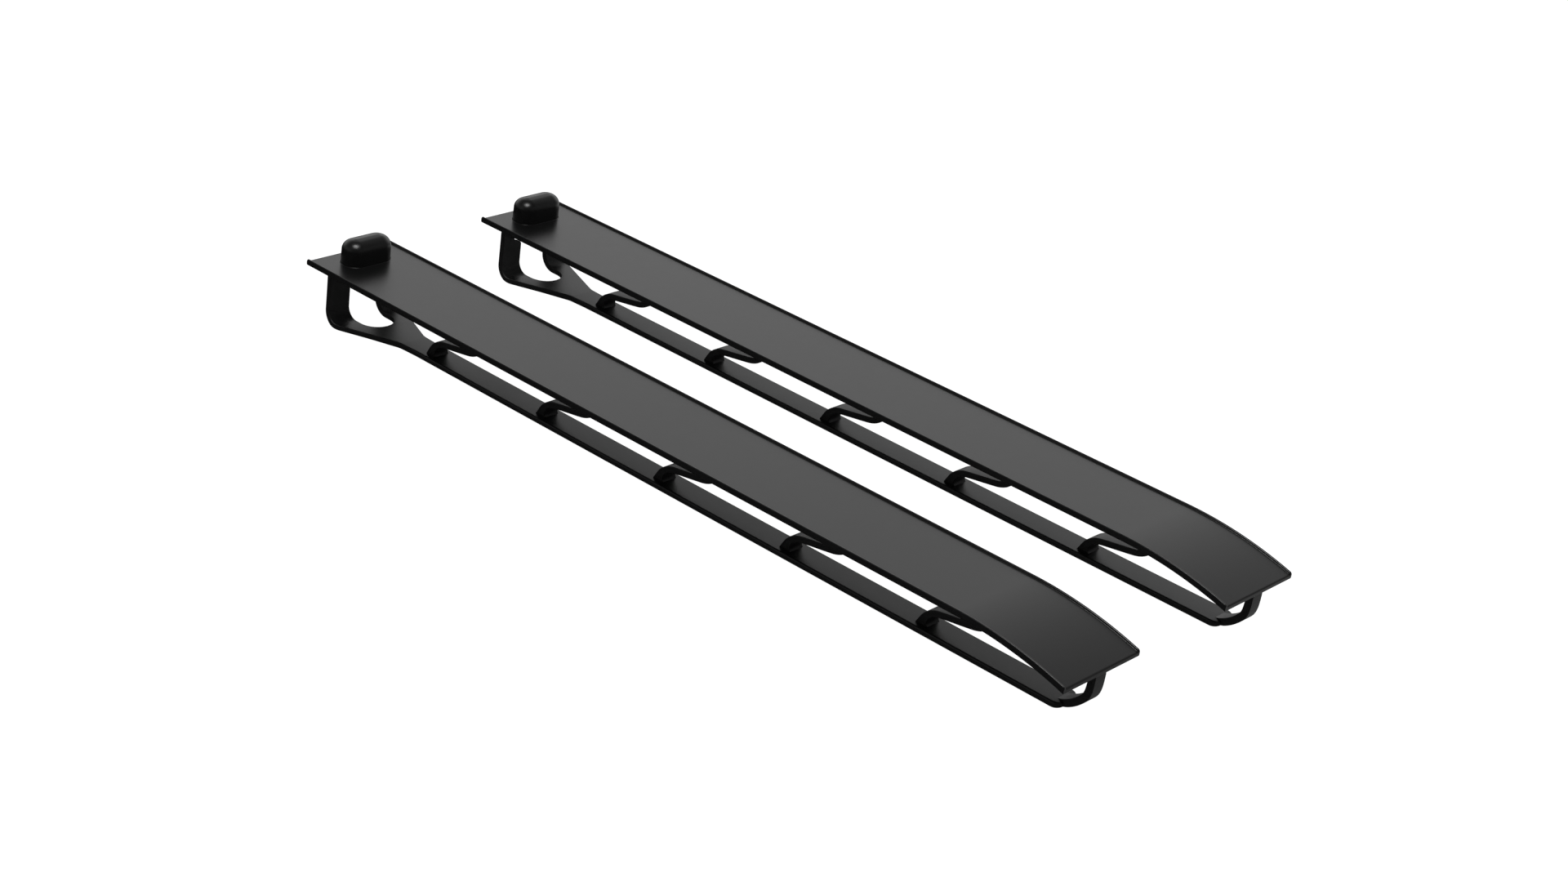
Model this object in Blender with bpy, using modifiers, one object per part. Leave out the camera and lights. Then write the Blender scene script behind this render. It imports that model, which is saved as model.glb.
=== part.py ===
"""Pair of sprung ski pads of a clamshell roof ski rack.

Each pad is a channel plate with a push button, carrying a narrow contact band on S-shaped
flexible fingers.  The frame has +X along the pads towards the nose, +Y across and +Z up,
with its origin under the middle of the pair, level with the undersides of the bands.

Lengths are in millimetres.  Within a pad, x runs from the button end of the plate, y from the
pad's centre line and z from the underside of its band.
"""
import math

import bmesh
import bpy
from mathutils import Vector
from mathutils.geometry import interpolate_bezier

MM = 0.001
GAP = 0.3                   # between pieces that touch

# ---- the pair ----
PADS = ("front", "rear")
PAD_SPACING = 146.0         # between the centre lines of the two pads

# ---- backing plate ----
LENGTH = 604.0
WIDTH = 66.0                # over the lips
LIP_TOP = 41.0
LIP_HEIGHT = 4.0            # from the underside of the plate
LIP_THICKNESS = 1.5
FLOOR_THICKNESS = 2.8
NOSE_START = 531.0          # where the plate starts to bend down
NOSE_RADIUS = 251.0
NOSE_STEPS = 12

# ---- contact band and nose curl ----
BAND_WIDTH = 19.6
BAND_THICKNESS = 3.9
BAND_START = 68.3
BAND_END = 583.0            # where the nose curl's foot takes over
FOOT_END = 588.0
FOOT_CORNER = 4.5
CURL_WIDTH = 9.8
CURL_THICKNESS = 4.6
CURL_RISE = (585.0, 2.2)    # x and z where the curl leaves its foot
CURL_RISE_HANDLES = ((591.0, 4.3), (596.0, 8.0))
CURL_MIDDLE = (598.8, 11.5)
CURL_MIDDLE_HANDLE = (601.0, 14.4)
CURL_HEAD_HANDLE_Z = 19.0
CURL_SETBACK = 0.2          # of the curl's outer face from the plate's end

# ---- flexible fingers ----
FINGER_COUNT = 5
FINGER_FIRST = 85.5         # tip of the first finger
FINGER_PITCH = 100.25
FINGER_WIDTH = 11.5
FINGER_HALF = 2.0           # half the thickness of the middle stretch
FINGER_ROOT_HALF = 3.2      # half the thickness where it meets band and plate
FINGER_ROOT_LENGTH = 7.0    # height over which the root thins out
FINGER_HEAD_LENGTH = 6.0    # the same below the plate
FINGER_ROOT_X = 4.0         # these x and z are measured from the tip
FINGER_ROOT_HANDLE = (0.6, 6.5)     # from the root
FINGER_HUMP_HANDLE = (8.5, 13.6)
FINGER_HUMP_END = (14.5, 14.7)
FINGER_LINE_HANDLES = ((21.0, 15.8), (29.0, 16.9))
FINGER_RISE_START = (35.5, 18.0)
FINGER_RISE_HANDLES = ((45.0, 19.4), (50.5, 24.0))
FINGER_HEAD_X = 50.5

# ---- end yoke ----
YOKE_THICKNESS = 3.5        # its upper face is flush with the band's
YOKE_HALF_WIDTH = 28.2
YOKE_LEG_CENTRE = 16.6
YOKE_BEND_RADIUS = 9.7      # of the middle of the sheet
YOKE_OPENING = 11.8         # half-width between the legs
YOKE_OPENING_END = 42.3
YOKE_TAPER_START = 20.0
YOKE_NOTCH = 18.3           # half-width of the opening beside the button
YOKE_NOTCH_DEPTH = 10.0     # below the plate
YOKE_NOTCH_RAMP = 3.0       # height over which the notch narrows to the opening

# ---- push button and what holds it ----
BUTTON_CENTRE = 17.2
BUTTON_RADIUS = 9.2         # round ends of the loaf, seen from above
BUTTON_STRAIGHT = 17.0      # between the centres of the round ends
BUTTON_TOP = 55.8
BUTTON_SKIRT = 1.8          # below the plate at rest
BUTTON_CROWN = 6.8          # rounding of the top edge
BUTTON_HOLLOW = 2.6         # wall round the hollow that takes the spring
BUTTON_HOLLOW_TOP = 45.5
LUG_REACH = 1.3             # stop lugs on the two long sides
LUG_LENGTH = 12.0
LUG_HEIGHT = 1.3
CUP_BOTTOM = 25.5
CUP_WALL = 1.2
CUP_FLOOR = 1.5
CUP_LENGTH = 22.4           # along y, between the yoke's legs
CUP_WALL_CUT = 30.7         # top of the two end walls
FLANGE_LENGTH = 8.0
FLANGE_THICKNESS = 1.8
SPRING_RADIUS = 3.9
SPRING_WIRE = 0.45
SPRING_TURNS = 5
SPRING_POINTS_PER_TURN = 12
POST_RADIUS = 3.0
POST_HEIGHT = 3.0
SCREW_X = 33.9
SCREW_Y = 7.0
SCREW_SHANK = 1.2
SCREW_HEAD = 2.3
SCREW_HEAD_HEIGHT = 1.5
SCREW_REACH = 4.0           # into the boss
BOSS_RADIUS = 2.7
BOSS_LENGTH = 5.0

# ---- derived ----
PLATE_UNDERSIDE = LIP_TOP - LIP_HEIGHT
FLOOR_TOP = PLATE_UNDERSIDE + FLOOR_THICKNESS
CUP_INNER = BUTTON_RADIUS + LUG_REACH + GAP
CUP_OUTER = CUP_INNER + CUP_WALL
BOSS_BOTTOM = PLATE_UNDERSIDE - BOSS_LENGTH
FLANGE_TOP = BOSS_BOTTOM - GAP
FLANGE_BOTTOM = FLANGE_TOP - FLANGE_THICKNESS


# ---- scene, materials and objects ----
def clear_scene():
    for item in list(bpy.data.objects):
        bpy.data.objects.remove(item, do_unlink=True)


def new_collection(name):
    collection = bpy.data.collections.new(name)
    bpy.context.scene.collection.children.link(collection)
    return collection


def new_material(name, colour, roughness, metallic=0.0):
    material = bpy.data.materials.new(name)
    material.use_nodes = True
    shader = material.node_tree.nodes["Principled BSDF"]
    shader.inputs["Base Color"].default_value = (*colour, 1.0)
    shader.inputs["Roughness"].default_value = roughness
    shader.inputs["Metallic"].default_value = metallic
    return material


def mesh_from(builder, name):
    """A mesh from a bmesh, with its normals pointing out."""
    bmesh.ops.remove_doubles(builder, verts=builder.verts, dist=1e-6)
    bmesh.ops.recalc_face_normals(builder, faces=builder.faces)
    mesh = bpy.data.meshes.new(name)
    builder.to_mesh(mesh)
    builder.free()
    return mesh


def add_object(name, mesh, origin, finish):
    """One piece, with its own material, at origin (x, y, z) in millimetres in the frame."""
    piece = bpy.data.objects.new(name, mesh)
    piece.location = Vector(origin) * MM
    parts.objects.link(piece)
    piece.data.materials.clear()
    piece.data.materials.append(new_material(name + "_finish", *FINISHES[finish]))
    return piece


def add_bevel(piece, width, segments=1, angle=40.0):
    bevel = piece.modifiers.new("rounded_edges", "BEVEL")
    bevel.width = width * MM
    bevel.segments = segments
    bevel.limit_method = "ANGLE"
    bevel.angle_limit = math.radians(angle)
    bevel.use_clamp_overlap = True


def combine(base, tool_mesh, operation):
    """Applies one Boolean to base's mesh, and keeps the tool among the cutters."""
    tool = bpy.data.objects.new(base.name + "_" + operation.lower(), tool_mesh)
    tool.location = base.location
    tool.hide_render = True
    tool.display_type = "WIRE"
    cutters.objects.link(tool)
    boolean = base.modifiers.new(operation.lower(), "BOOLEAN")
    boolean.operation = operation
    boolean.solver = "EXACT"
    boolean.object = tool
    return tool


# ---- shapes, in millimetres ----
def box(low, high):
    builder = bmesh.new()
    bmesh.ops.create_cube(builder, size=1.0)
    size = [b - a for a, b in zip(low, high)]
    middle = [(a + b) / 2 for a, b in zip(low, high)]
    bmesh.ops.scale(builder, vec=Vector(size) * MM, verts=builder.verts)
    bmesh.ops.translate(builder, vec=Vector(middle) * MM, verts=builder.verts)
    return mesh_from(builder, "box")


def cylinder(radius, low_z, high_z, centre=(0.0, 0.0), sides=24):
    builder = bmesh.new()
    bmesh.ops.create_cone(
        builder, cap_ends=True, segments=sides, radius1=radius * MM, radius2=radius * MM,
        depth=(high_z - low_z) * MM)
    middle = Vector((centre[0], centre[1], (low_z + high_z) / 2)) * MM
    bmesh.ops.translate(builder, vec=middle, verts=builder.verts)
    return mesh_from(builder, "cylinder")


def stadium(radius, straight, steps=10):
    """Outline of two half circles joined by straight sides, long axis along y."""
    points = []
    for sign in (1, -1):
        for i in range(steps + 1):
            angle = math.pi * i / steps + (0 if sign > 0 else math.pi)
            points.append((radius * math.cos(angle), radius * math.sin(angle) + sign * straight / 2))
    return points


def stack(rings):
    """A closed solid through rings of equal length, each a list of (x, y, z)."""
    builder = bmesh.new()
    loops = [[builder.verts.new(Vector(point) * MM) for point in ring] for ring in rings]
    for lower, upper in zip(loops, loops[1:]):
        for i in range(len(lower)):
            j = (i + 1) % len(lower)
            builder.faces.new((lower[i], lower[j], upper[j], upper[i]))
    builder.faces.new(loops[0])
    builder.faces.new(loops[-1])
    return mesh_from(builder, "stack")


def ribbon(path, wide, half_thicknesses, first_along, last_along):
    """A strip that follows path, a list of (x, z), with its width along y.

    Its two end faces stand square to first_along and last_along.
    """
    rings = []
    for i, (x, z) in enumerate(path):
        if i == 0:
            along = Vector(first_along)
        elif i == len(path) - 1:
            along = Vector(last_along)
        else:
            along = (Vector(path[i + 1]) - Vector(path[i - 1])).normalized()
        across = Vector((-along.y, along.x)) * half_thicknesses[i]
        rings.append([
            (x + across.x, -wide, z + across.y),
            (x + across.x, wide, z + across.y),
            (x - across.x, wide, z - across.y),
            (x - across.x, -wide, z - across.y)])
    return stack(rings)


def bezier(start, start_handle, end_handle, end, steps):
    knots = [Vector((p[0], p[1], 0.0)) for p in (start, start_handle, end_handle, end)]
    return [(p.x, p.y) for p in interpolate_bezier(*knots, steps)]


def nose_point(x):
    """How far the plate has dropped at x, and its slope angle there."""
    if x <= NOSE_START:
        return 0.0, 0.0
    angle = math.asin((x - NOSE_START) / NOSE_RADIUS)
    return NOSE_RADIUS * (1 - math.cos(angle)), angle


# ---- pieces; each takes the pad's name and origin ----
def backing_plate(pad, origin):
    half = WIDTH / 2
    inner = half - LIP_THICKNESS
    section = [
        (-half, PLATE_UNDERSIDE), (half, PLATE_UNDERSIDE), (half, LIP_TOP), (inner, LIP_TOP),
        (inner, FLOOR_TOP), (-inner, FLOOR_TOP), (-inner, LIP_TOP), (-half, LIP_TOP)]
    stations = [0.0, NOSE_START]
    for i in range(1, NOSE_STEPS + 1):
        stations.append(NOSE_START + (LENGTH - NOSE_START) * i / NOSE_STEPS)
    rings = []
    for x in stations:
        drop = nose_point(x)[0]
        rings.append([(x, y, z - drop) for y, z in section])
    piece = add_object(pad + "_backing_plate", stack(rings), origin, "plate")
    add_bevel(piece, 0.45)
    for sign in (-1, 1):
        centre = (SCREW_X, sign * SCREW_Y)
        boss = cylinder(BOSS_RADIUS, BOSS_BOTTOM, PLATE_UNDERSIDE + 1.0, centre)
        combine(piece, boss, "UNION")
        hole = cylinder(SCREW_SHANK + GAP, BOSS_BOTTOM - 1.0, BOSS_BOTTOM + SCREW_REACH + GAP, centre)
        combine(piece, hole, "DIFFERENCE")
    outline = stadium(BUTTON_RADIUS + GAP, BUTTON_STRAIGHT)
    opening = [
        [(x + BUTTON_CENTRE, y, z) for x, y in outline]
        for z in (PLATE_UNDERSIDE - 1.0, LIP_TOP + 1.0)]
    combine(piece, stack(opening), "DIFFERENCE")


def lock_button(pad, origin):
    """The loaf: straight sides, a rounded top edge and a hollow underside."""
    bottom = PLATE_UNDERSIDE - BUTTON_SKIRT
    shoulder = BUTTON_TOP - BUTTON_CROWN
    levels = [(BUTTON_RADIUS, bottom), (BUTTON_RADIUS, shoulder)]
    steps = 5
    for i in range(1, steps + 1):
        angle = math.radians(80.0) * i / steps
        inset = BUTTON_CROWN * (1 - math.cos(angle))
        levels.append((BUTTON_RADIUS - inset, shoulder + BUTTON_CROWN * math.sin(angle)))
    levels.append((BUTTON_RADIUS - BUTTON_CROWN * 1.1, BUTTON_TOP))
    rings = [[(x, y, z) for x, y in stadium(radius, BUTTON_STRAIGHT)] for radius, z in levels]
    centre = (origin[0] + BUTTON_CENTRE, origin[1], origin[2])
    piece = add_object(pad + "_lock_button", stack(rings), centre, "button")
    reach = BUTTON_RADIUS + LUG_REACH
    lug = box((-reach, -LUG_LENGTH / 2, bottom), (reach, LUG_LENGTH / 2, bottom + LUG_HEIGHT))
    combine(piece, lug, "UNION")
    outline = stadium(BUTTON_RADIUS - BUTTON_HOLLOW, BUTTON_STRAIGHT)
    hollow = [[(x, y, z) for x, y in outline] for z in (bottom - 1.0, BUTTON_HOLLOW_TOP)]
    combine(piece, stack(hollow), "DIFFERENCE")


def button_cup(pad, origin):
    half = CUP_LENGTH / 2
    top = PLATE_UNDERSIDE - GAP
    floor = CUP_BOTTOM + CUP_FLOOR
    centre = (origin[0] + BUTTON_CENTRE, origin[1], origin[2])
    outside = box((-CUP_OUTER, -half, CUP_BOTTOM), (CUP_OUTER, half, top))
    piece = add_object(pad + "_button_cup", outside, centre, "hidden_plastic")
    flange = box((0.0, -half, FLANGE_BOTTOM), (CUP_OUTER + FLANGE_LENGTH, half, FLANGE_TOP))
    combine(piece, flange, "UNION")
    inner_half = half - CUP_WALL
    room = box((-CUP_INNER, -inner_half, floor), (CUP_INNER, inner_half, top + 1.0))
    combine(piece, room, "DIFFERENCE")
    window = box((-CUP_INNER, -half - 1.0, CUP_WALL_CUT), (CUP_INNER, half + 1.0, top + 1.0))
    combine(piece, window, "DIFFERENCE")
    combine(piece, cylinder(POST_RADIUS, CUP_BOTTOM + 0.5, floor + POST_HEIGHT), "UNION")
    for sign in (-1, 1):
        at = (SCREW_X - BUTTON_CENTRE, sign * SCREW_Y)
        hole = cylinder(SCREW_SHANK + GAP, FLANGE_BOTTOM - 1.0, FLANGE_TOP + 1.0, at)
        combine(piece, hole, "DIFFERENCE")


def button_spring(pad, origin):
    """Open coil between the cup's floor and the top of the button's hollow."""
    low = CUP_BOTTOM + CUP_FLOOR + GAP + SPRING_WIRE
    high = BUTTON_HOLLOW_TOP - GAP - SPRING_WIRE
    count = SPRING_TURNS * SPRING_POINTS_PER_TURN
    curve = bpy.data.curves.new("coil", "CURVE")
    curve.dimensions = "3D"
    curve.bevel_depth = SPRING_WIRE * MM
    curve.bevel_resolution = 1
    curve.use_fill_caps = True
    spline = curve.splines.new("POLY")
    spline.points.add(count)
    for i in range(count + 1):
        angle = 2 * math.pi * i / SPRING_POINTS_PER_TURN
        x = SPRING_RADIUS * math.cos(angle) * MM
        y = SPRING_RADIUS * math.sin(angle) * MM
        z = (low + (high - low) * i / count) * MM
        spline.points[i].co = (x, y, z, 1.0)
    centre = (origin[0] + BUTTON_CENTRE, origin[1], origin[2])
    return add_object(pad + "_button_spring", curve, centre, "steel")


def cup_screws(pad, origin):
    """Two headed screws from below the flange up into the plate's bosses."""
    head_top = FLANGE_BOTTOM - GAP
    head_bottom = head_top - SCREW_HEAD_HEIGHT
    tip = BOSS_BOTTOM + SCREW_REACH
    profile = [
        (0.0, tip), (SCREW_SHANK, tip), (SCREW_SHANK, head_top),
        (SCREW_HEAD, head_top), (SCREW_HEAD, head_bottom), (0.0, head_bottom)]
    for number, sign in enumerate((-1, 1), start=1):
        builder = bmesh.new()
        points = [builder.verts.new(Vector((r, 0.0, z)) * MM) for r, z in profile]
        for a, b in zip(points, points[1:]):
            builder.edges.new((a, b))
        mesh = bpy.data.meshes.new("screw_profile")
        builder.to_mesh(mesh)
        builder.free()
        at = (origin[0] + SCREW_X, origin[1] + sign * SCREW_Y, origin[2])
        piece = add_object("%s_cup_screw_%d" % (pad, number), mesh, at, "steel")
        turn = piece.modifiers.new("turned", "SCREW")
        turn.axis = "Z"
        turn.angle = math.radians(360.0)
        turn.steps = 20
        turn.render_steps = 20
        turn.use_merge_vertices = True
        turn.merge_threshold = 0.00005


def contact_band(pad, origin):
    half = BAND_WIDTH / 2
    mesh = box((BAND_START + GAP, -half, 0.0), (BAND_END - GAP, half, BAND_THICKNESS))
    piece = add_object(pad + "_contact_band", mesh, origin, "band")
    add_bevel(piece, 0.9, segments=2)


def yoke_half_width(x):
    """Half-width of the flat part: full to the taper's start, then straight to the band."""
    share = (x - YOKE_TAPER_START) / (BAND_START - YOKE_TAPER_START)
    share = min(max(share, 0.0), 1.0)
    return YOKE_HALF_WIDTH + (BAND_WIDTH / 2 - YOKE_HALF_WIDTH) * share


def yoke_rows():
    """Rows down the leg, round the bend and along the flat: x, z, half-width, opening."""
    level = BAND_THICKNESS - YOKE_THICKNESS / 2
    centre_x = YOKE_LEG_CENTRE + YOKE_BEND_RADIUS
    centre_z = level + YOKE_BEND_RADIUS
    notch_bottom = PLATE_UNDERSIDE - YOKE_NOTCH_DEPTH
    rows = [
        (YOKE_LEG_CENTRE, PLATE_UNDERSIDE - GAP, YOKE_HALF_WIDTH, YOKE_NOTCH),
        (YOKE_LEG_CENTRE, notch_bottom, YOKE_HALF_WIDTH, YOKE_NOTCH),
        (YOKE_LEG_CENTRE, notch_bottom - YOKE_NOTCH_RAMP, YOKE_HALF_WIDTH, YOKE_OPENING)]
    bend_steps = 8
    for i in range(bend_steps + 1):
        angle = math.pi / 2 * i / bend_steps
        x = centre_x - YOKE_BEND_RADIUS * math.cos(angle)
        z = centre_z - YOKE_BEND_RADIUS * math.sin(angle)
        rows.append((x, z, yoke_half_width(x), YOKE_OPENING))
    round_start = YOKE_OPENING_END - YOKE_OPENING
    round_steps = 7
    for i in range(round_steps + 1):
        angle = math.pi / 2 * i / round_steps
        x = round_start + YOKE_OPENING * math.sin(angle)
        opening = YOKE_OPENING * math.cos(angle) if i < round_steps else 0.0
        rows.append((x, level, yoke_half_width(x), opening))
    rows.append((BAND_START, level, yoke_half_width(BAND_START), 0.0))
    return rows


def end_yoke(pad, origin):
    """A bent sheet, forked above the opening, thickened about its middle."""
    builder = bmesh.new()
    rows = []
    for x, z, wide, opening in yoke_rows():
        row = [builder.verts.new(Vector((x, y, z)) * MM) for y in (-wide, -opening)]
        if opening > 0.0:
            row.append(builder.verts.new(Vector((x, opening, z)) * MM))
        else:
            row.append(row[1])
        row.append(builder.verts.new(Vector((x, wide, z)) * MM))
        rows.append(row)
    for above, below in zip(rows, rows[1:]):
        builder.faces.new((above[0], above[1], below[1], below[0]))
        builder.faces.new((above[2], above[3], below[3], below[2]))
    mesh = bpy.data.meshes.new("yoke_sheet")
    builder.to_mesh(mesh)
    builder.free()
    piece = add_object(pad + "_end_yoke", mesh, origin, "spring_plastic")
    sheet = piece.modifiers.new("sheet", "SOLIDIFY")
    sheet.thickness = YOKE_THICKNESS * MM
    sheet.offset = 0.0
    sheet.use_even_offset = True
    add_bevel(piece, 0.8, angle=50.0)


def finger_mesh():
    """S-shaped spring; its frame starts at the finger's tip on top of the band."""
    root_z = BAND_THICKNESS + GAP
    top_z = PLATE_UNDERSIDE - GAP
    root = (FINGER_ROOT_X, root_z)
    root_handle = (FINGER_ROOT_X + FINGER_ROOT_HANDLE[0], root_z + FINGER_ROOT_HANDLE[1])
    top = (FINGER_HEAD_X, top_z)
    path = bezier(root, root_handle, FINGER_HUMP_HANDLE, FINGER_HUMP_END, 9)
    path += bezier(FINGER_HUMP_END, *FINGER_LINE_HANDLES, FINGER_RISE_START, 4)[1:]
    path += bezier(FINGER_RISE_START, *FINGER_RISE_HANDLES, top, 9)[1:]
    thick = []
    for x, z in path:
        root_share = max(0.0, 1 - (z - root_z) / FINGER_ROOT_LENGTH)
        top_share = max(0.0, 1 - (top_z - z) / FINGER_HEAD_LENGTH)
        share = max(root_share, top_share)
        thick.append(FINGER_HALF + (FINGER_ROOT_HALF - FINGER_HALF) * share)
    return ribbon(path, FINGER_WIDTH / 2, thick, (0.0, 1.0), (0.0, 1.0))


def flex_fingers(pad, origin):
    for number in range(1, FINGER_COUNT + 1):
        tip = FINGER_FIRST + (number - 1) * FINGER_PITCH
        at = (origin[0] + tip, origin[1], origin[2])
        piece = add_object("%s_flex_finger_%d" % (pad, number), finger_mesh(), at, "spring_plastic")
        add_bevel(piece, 0.5, angle=50.0)


def nose_curl(pad, origin):
    """A round-cornered foot that ends the band, and a ribbon from it up to the plate's end."""
    half = CURL_THICKNESS / 2
    top_x = LENGTH - CURL_SETBACK - half
    drop, slope = nose_point(top_x)
    square_to_plate = (math.sin(slope), math.cos(slope))
    top = (top_x, PLATE_UNDERSIDE - drop - 1.5 * GAP)
    path = bezier(CURL_RISE, *CURL_RISE_HANDLES, CURL_MIDDLE, 6)
    path += bezier(CURL_MIDDLE, CURL_MIDDLE_HANDLE, (top_x, CURL_HEAD_HANDLE_Z), top, 6)[1:]
    mesh = ribbon(path, CURL_WIDTH / 2, [half] * len(path), (1.0, 0.0), square_to_plate)
    piece = add_object(pad + "_nose_curl", mesh, origin, "spring_plastic")
    outline = [(BAND_END, -BAND_WIDTH / 2)]
    centre_x = FOOT_END - FOOT_CORNER
    centre_y = BAND_WIDTH / 2 - FOOT_CORNER
    corner_steps = 5
    for sign in (-1, 1):
        for i in range(corner_steps + 1):
            angle = math.pi / 2 * (i / corner_steps if sign > 0 else i / corner_steps - 1)
            x = centre_x + FOOT_CORNER * math.cos(angle)
            y = sign * centre_y + FOOT_CORNER * math.sin(angle)
            outline.append((x, y))
    outline.append((BAND_END, BAND_WIDTH / 2))
    foot = stack([[(x, y, z) for x, y in outline] for z in (0.0, BAND_THICKNESS)])
    combine(piece, foot, "UNION")


FINISHES = {
    "plate": ((0.016, 0.016, 0.017), 0.30),
    "button": ((0.014, 0.014, 0.015), 0.28),
    "band": ((0.014, 0.014, 0.014), 0.38),
    "spring_plastic": ((0.013, 0.013, 0.013), 0.36),
    "hidden_plastic": ((0.030, 0.030, 0.032), 0.50),
    "steel": ((0.55, 0.55, 0.57), 0.30, 1.0),
}

clear_scene()
parts = new_collection("roof_ski_rack_pads")
cutters = new_collection("cutters")
for place, pad_name in enumerate(PADS):
    pad_origin = (-LENGTH / 2, (place - 0.5) * PAD_SPACING, 0.0)
    backing_plate(pad_name, pad_origin)
    lock_button(pad_name, pad_origin)
    button_cup(pad_name, pad_origin)
    button_spring(pad_name, pad_origin)
    cup_screws(pad_name, pad_origin)
    contact_band(pad_name, pad_origin)
    end_yoke(pad_name, pad_origin)
    flex_fingers(pad_name, pad_origin)
    nose_curl(pad_name, pad_origin)
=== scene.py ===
"""Looks of the pair of sprung ski pads: fine meshes, black moulded materials, studio and camera.

Lengths named in millimetres are turned to metres by MM.  Within a pad, x runs from the button end
of the plate, y from the pad's centre line and z from the underside of its band.
"""
import math

import bmesh
import bpy
from mathutils import Matrix, Vector
from mathutils.geometry import interpolate_bezier


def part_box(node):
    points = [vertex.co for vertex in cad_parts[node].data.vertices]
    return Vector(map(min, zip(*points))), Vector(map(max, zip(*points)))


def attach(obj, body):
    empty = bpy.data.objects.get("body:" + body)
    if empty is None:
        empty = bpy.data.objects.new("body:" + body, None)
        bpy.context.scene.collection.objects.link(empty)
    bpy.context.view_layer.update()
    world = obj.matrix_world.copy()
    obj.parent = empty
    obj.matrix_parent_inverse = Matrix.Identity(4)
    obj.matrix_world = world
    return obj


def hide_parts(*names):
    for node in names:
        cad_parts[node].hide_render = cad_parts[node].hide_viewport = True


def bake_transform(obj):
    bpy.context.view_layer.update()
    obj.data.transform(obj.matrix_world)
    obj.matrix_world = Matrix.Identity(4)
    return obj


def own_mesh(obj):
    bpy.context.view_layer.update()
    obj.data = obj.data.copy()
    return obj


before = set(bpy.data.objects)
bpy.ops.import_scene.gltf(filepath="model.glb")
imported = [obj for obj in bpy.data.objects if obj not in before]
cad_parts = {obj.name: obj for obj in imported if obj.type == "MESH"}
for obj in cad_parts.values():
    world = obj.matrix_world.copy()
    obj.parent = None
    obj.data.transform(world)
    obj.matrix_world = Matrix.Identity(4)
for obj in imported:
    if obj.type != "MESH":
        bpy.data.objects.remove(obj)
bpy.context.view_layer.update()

MM = 0.001
PADS = ("front", "rear")
FINGERS = 5

# ---- plate: details that the frame's boxes don't give, millimetres ----
LIP_HEIGHT = 4.0            # from the underside of the plate
LIP_THICKNESS = 1.5
FLOOR_THICKNESS = 2.8
NOSE_START = 531.0          # where the plate starts to bend down
NOSE_RADIUS = 251.0
NOSE_STEPS = 40
LIP_OUTER_ROUND = 0.5
LIP_INNER_ROUND = 0.85
LIP_INNER_STEPS = 8
LIP_FILLET = 0.35
LIP_FILLET_STEPS = 5
UNDER_ROUND = 0.5
LIP_END_ROUND = 1.1         # seen from the side
FLOOR_END_ROUND = 0.95
END_STEPS = 8
EDGE_STEPS = 4              # arc steps of a small rounded edge
CUT_MARGIN = 1.0            # how far a cutter stands out of what it cuts

# ---- button ----
BUTTON_SLOT = 9.5           # radius of the round ends of its opening
BUTTON_STRAIGHT = 17.0      # between the centres of the round ends
BUTTON_GAP = 0.3
BUTTON_CROWN = 6.8          # height of the rounding of the top edge
BUTTON_CROWN_INSET = 7.6    # its depth, seen from above
BUTTON_CROWN_ARC = 84.0     # degrees of the quarter turn that it makes
BUTTON_CROWN_STEPS = 16
BUTTON_DRAFT = 0.25
BUTTON_SIDE_STEPS = 6
BUTTON_DOME = 0.25          # rise of the top inside the crown
BUTTON_DOME_SHARES = (0.35, 0.7, 0.97)
BUTTON_WALL = 2.6           # round the hollow
BUTTON_ROOF = 10.0          # above the hollow
OUTLINE_STEPS = 24          # arc steps of a round end, seen from above
HOLLOW_STEPS = 16           # the same for the hollow
RIM_PROFILE = (             # bead round the opening: out from the slot, up from the floor
    (-0.2, -0.4), (-0.2, 0.2), (-0.12, 0.25), (0.0, 0.225), (0.15, 0.1125), (0.3, 0.05), (0.3, -0.4))
SPRING_WIRE = 0.45          # radius
SPRING_TURNS = 5
SPRING_POINTS_PER_TURN = 40
SPRING_WIRE_SIDES = 10
SPRING_CLOSING = 0.09       # how far the end turns close up, as a share of the height

# ---- band, fingers and curl; finger points are (x from the tip, z) ----
BAND_ROUND = 1.25
BAND_ROUND_RUN = 12.0       # over which the yoke's rounding grows to the band's
BAND_LEAST_EDGE = 0.05      # flat left on the edge of a thin section
BAND_TIP_PINCH = 0.45       # share of the thickness lost at the tip
BAND_TIP_TURN = 88.0        # degrees
BAND_TIP_STEPS = 11
FOOT_END = 588.0
FOOT_CORNER = 5.0
OVERLAP = 0.3               # how far a flexible piece runs into its neighbours
FLEX_ROUND = 0.55           # edges of fingers and curl
FINGER_HALF = 2.0
FINGER_ROOT_FLARE = 1.725
FINGER_FLARE_FADE = 1.9     # height over which the flare falls to about a third
FINGER_FOOT_SWELL = 0.7
FINGER_FOOT_HEIGHT = 9.0
FINGER_ROOT_X = 4.0
FINGER_ROOT_HANDLE = (4.2, 6.0)     # z from the root
FINGER_HUMP_HANDLE = (8.5, 13.6)
FINGER_HUMP_END = (14.5, 14.7)
FINGER_LINE_HANDLES = ((21.0, 15.8), (29.0, 16.9))
FINGER_RISE_START = (35.5, 18.0)
FINGER_RISE_HANDLES = ((45.0, 19.4), (50.5, 24.0))
FINGER_HEAD_X = 50.5
FINGER_CURVE_STEPS = 22
FINGER_LINE_STEPS = 8
CURL_HALF = 2.3
CURL_FOOT_THINNING = 0.35
CURL_FOOT_ROWS = 5
CURL_WIDTH = 9.8
CURL_SETBACK = 0.2          # of the curl's outer face from the plate's end
CURL_TOP_OVERLAP = 0.2
CURL_FOOT = (583.5, 1.9)
CURL_FOOT_HANDLES = ((590.0, 2.6), (595.6, 7.4))
CURL_MIDDLE = (599.0, 11.5)
CURL_MIDDLE_HANDLE = (601.3, 14.3)
CURL_HEAD_HANDLE_Z = 19.0
CURL_FOOT_STEPS = 18
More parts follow.
